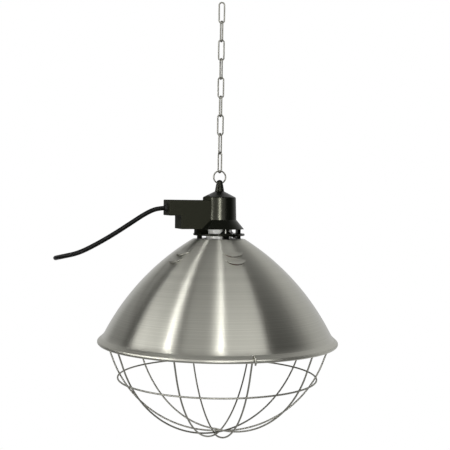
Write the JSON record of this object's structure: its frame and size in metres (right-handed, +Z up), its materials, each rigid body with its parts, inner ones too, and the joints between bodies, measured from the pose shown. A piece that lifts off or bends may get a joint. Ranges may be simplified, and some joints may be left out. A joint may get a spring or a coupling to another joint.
{
  "type": "heat lamp",
  "caption": "Hanging infrared brooder lamp: spun dome shade with louvres, hinged wire guard, vented black cap with terminal box, porcelain holder, bulb, link chain and mains cord.",
  "frame": {"origin": "inside top of the top link's loop, where the chain hangs on its hook", "axes": "+Z up along the chain; -X towards the terminal box and the cord's outlet; -Y towards the guard's catch, +Y towards its hinge"},
  "size_m": [0.4108, 0.3592, 0.6363],
  "materials": {
    "chain_steel": "bright zinc on round wire",
    "black_moulding": "satin black heat-resistant moulding",
    "zinc_screw": "bright zinc",
    "gland_rubber": "matt black rubber",
    "pale_plastic": "milky white moulding",
    "porcelain": "white glaze",
    "brass": "drawn sheet",
    "core_sleeve": "insulated cores",
    "live_sleeve": "brown insulation",
    "neutral_sleeve": "blue insulation",
    "earth_sleeve": "green and yellow insulation",
    "shade_aluminium": "spun sheet, fine turning lines",
    "bulb_metal": "rolled thin sheet",
    "bulb_insulation": "black glass",
    "ruby_glass": "smooth ruby red",
    "filament_wire": "drawn tungsten",
    "guard_wire": "bright zinc on drawn wire",
    "cord_rubber": "smooth black sheath",
    "tie_strap": "woven hook and loop strap",
    "plug_rubber": "moulded black rubber",
    "plug_metal": "nickel plate"
  },
  "bodies": {
    "link_1": {"chain_link_1": "chain_steel"},
    "link_2": {"chain_link_2": "chain_steel"},
    "link_3": {"chain_link_3": "chain_steel"},
    "link_4": {"chain_link_4": "chain_steel"},
    "link_5": {"chain_link_5": "chain_steel"},
    "link_6": {"chain_link_6": "chain_steel"},
    "link_7": {"chain_link_7": "chain_steel"},
    "link_8": {"chain_link_8": "chain_steel"},
    "link_9": {"chain_link_9": "chain_steel"},
    "ring": {"hanging_ring": "chain_steel"},
    "lamp": {"cap_housing": "black_moulding", "box_cover": "black_moulding", "vent_ring": "black_moulding", "cover_screw_1": "zinc_screw", "cover_screw_2": "zinc_screw", "clamp_screw_1": "zinc_screw", "clamp_screw_2": "zinc_screw", "holder_screw_1": "zinc_screw", "holder_screw_2": "zinc_screw", "shade_screw_1": "zinc_screw", "shade_screw_2": "zinc_screw", "shade_screw_3": "zinc_screw", "shade_screw_4": "zinc_screw", "earth_nut": "zinc_screw", "clamp_ring": "zinc_screw", "cord_gland": "gland_rubber", "terminal_block": "pale_plastic", "cord_clamp": "pale_plastic", "lamp_holder": "porcelain", "holder_shell": "brass", "centre_contact": "brass", "terminal_screws": "brass", "cord_cores": "core_sleeve", "lead_live": "live_sleeve", "lead_neutral": "neutral_sleeve", "lead_earth": "earth_sleeve", "shade": "shade_aluminium", "cord_inside": "cord_rubber", "cord_run": "cord_rubber", "cord_coil": "cord_rubber", "cord_tail": "cord_rubber", "coil_tie": "tie_strap", "plug_sleeve": "plug_rubber", "plug_body": "plug_rubber", "plug_pins": "plug_metal", "plug_earth_clips": "plug_metal"},
    "bulb_foot": {"bulb_tip": "bulb_metal"},
    "bulb": {"bulb_cap": "bulb_metal", "bulb_insulator": "bulb_insulation", "bulb_glass": "ruby_glass", "bulb_filament": "filament_wire"},
    "guard": {"guard_arch_1": "guard_wire", "guard_arch_2": "guard_wire", "guard_arch_3": "guard_wire", "guard_arch_4": "guard_wire", "guard_arch_5": "guard_wire", "guard_catch": "guard_wire", "guard_top_ring": "guard_wire", "guard_middle_ring": "guard_wire"}
  },
  "joints": [
    {"name": "link_2_swing", "type": "hinge", "parent": "link_1", "child": "link_2", "pos_m": [0, 0, -0.0263], "axis": [-0.0523, 0.9986, 0], "range_deg": [-40, 40]},
    {"name": "link_3_swing", "type": "hinge", "parent": "link_2", "child": "link_3", "pos_m": [0, 0, -0.0562], "axis": [0.0523, -0.9986, 0], "range_deg": [-40, 40]},
    {"name": "link_4_swing", "type": "hinge", "parent": "link_3", "child": "link_4", "pos_m": [0, 0, -0.0811], "axis": [-0.0523, 0.9986, 0], "range_deg": [-40, 40]},
    {"name": "link_5_swing", "type": "hinge", "parent": "link_4", "child": "link_5", "pos_m": [0, 0, -0.111], "axis": [0.0523, -0.9986, 0], "range_deg": [-40, 40]},
    {"name": "link_6_swing", "type": "hinge", "parent": "link_5", "child": "link_6", "pos_m": [0, 0, -0.1359], "axis": [-0.0523, 0.9986, 0], "range_deg": [-40, 40]},
    {"name": "link_7_swing", "type": "hinge", "parent": "link_6", "child": "link_7", "pos_m": [0, 0, -0.1658], "axis": [0.0523, -0.9986, 0], "range_deg": [-40, 40]},
    {"name": "link_8_swing", "type": "hinge", "parent": "link_7", "child": "link_8", "pos_m": [0, 0, -0.1907], "axis": [0.7071, 0.7071, 0], "range_deg": [-40, 40]},
    {"name": "link_9_swing", "type": "hinge", "parent": "link_8", "child": "link_9", "pos_m": [0, 0, -0.2181], "axis": [-0.309, 0.9511, 0], "range_deg": [-40, 40]},
    {"name": "ring_swing", "type": "hinge", "parent": "link_9", "child": "ring", "pos_m": [0, 0, -0.248], "axis": [0.309, -0.9511, 0], "range_deg": [-30, 30]},
    {"name": "lamp_swing", "type": "hinge", "parent": "ring", "child": "lamp", "pos_m": [0, 0, -0.2638], "axis": [1, 0, 0], "range_deg": [-30, 30]},
    {"name": "guard_swing", "type": "hinge", "parent": "lamp", "child": "guard", "pos_m": [0.0075, 0.17184, -0.4936], "axis": [0.999, -0.0436, 0], "range_deg": [0, 95], "deforming": ["guard_catch"]},
    {"name": "bulb_travel", "type": "slide", "parent": "lamp", "child": "bulb_foot", "axis": [0, 0, -1], "range_m": [0, 0.018]},
    {"name": "bulb_turn", "type": "hinge", "parent": "bulb_foot", "child": "bulb", "pos_m": [0, 0, -0.4], "axis": [0, 0, -1], "range_deg": [0, 1800]}
  ],
  "couplings": [
    {"joint": "bulb_travel", "follows": "bulb_turn", "m_per_rad": 0.00057296}
  ]
}
